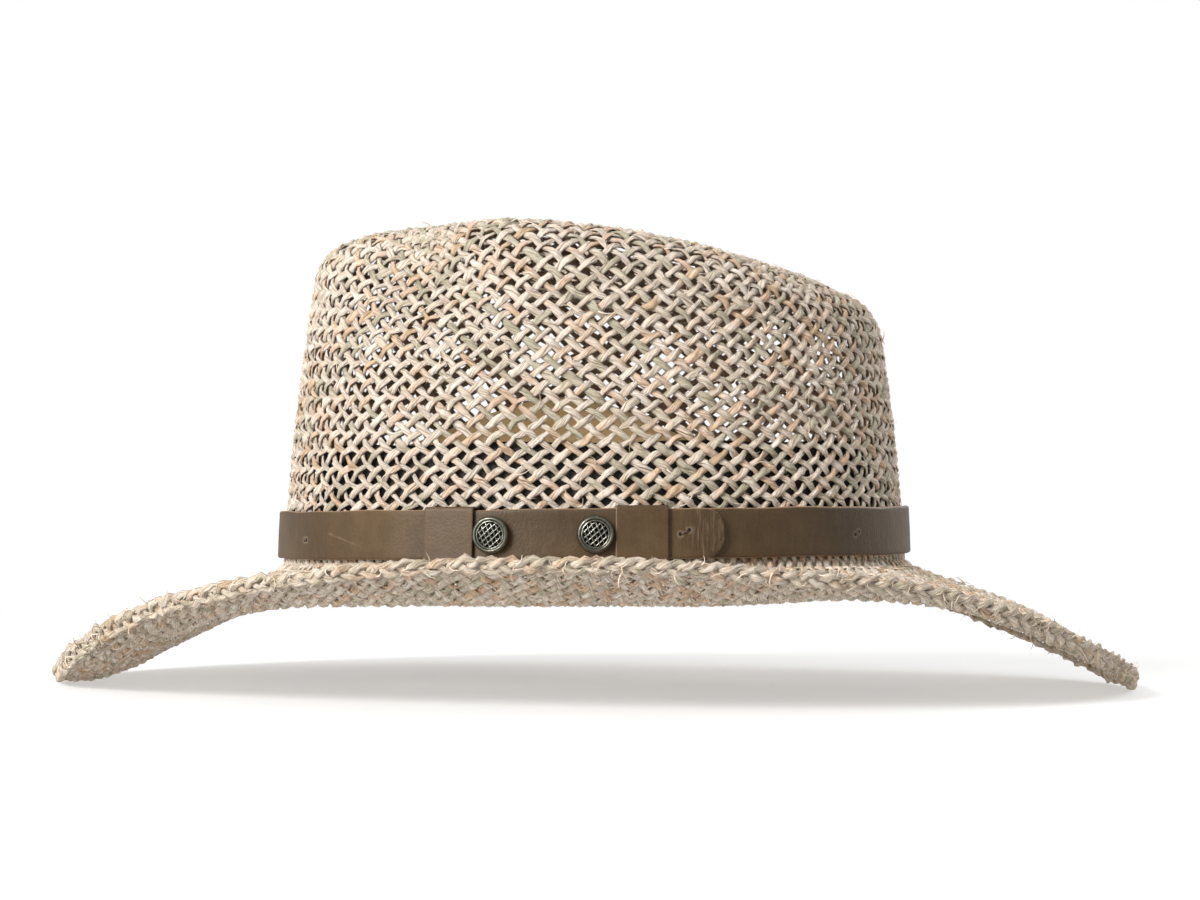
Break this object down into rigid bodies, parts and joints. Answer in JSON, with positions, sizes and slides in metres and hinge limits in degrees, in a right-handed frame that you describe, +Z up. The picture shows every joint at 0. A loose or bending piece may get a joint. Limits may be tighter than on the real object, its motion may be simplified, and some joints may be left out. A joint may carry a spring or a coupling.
{
  "type": "seagrass hat",
  "caption": "Open-weave straw hat with a dented crown, a brim rolled up at the sides and a studded leather band held by loops.",
  "frame": {"origin": "on the surface the hat stands on, under the middle of the hat", "axes": "+Z up; -Y towards the front of the hat; +X towards the wearer's left, the side with the studs"},
  "size_m": [0.3196, 0.362, 0.1521],
  "materials": {
    "seagrass": "matt woven seagrass strands",
    "seagrass_edge": "matt braided seagrass",
    "band_leather": "worn satin leather",
    "pewter": "antiqued pewter with a bright rim",
    "sweatband_cloth": "dark matt cloth"
  },
  "bodies": {
    "root": {"straw_body": "seagrass", "brim_edge": "seagrass_edge", "hat_band": "band_leather", "band_loop_front": "band_leather", "band_loop_back": "band_leather", "stud_front": "pewter", "stud_back": "pewter", "sweatband": "sweatband_cloth"}
  },
  "joints": []
}
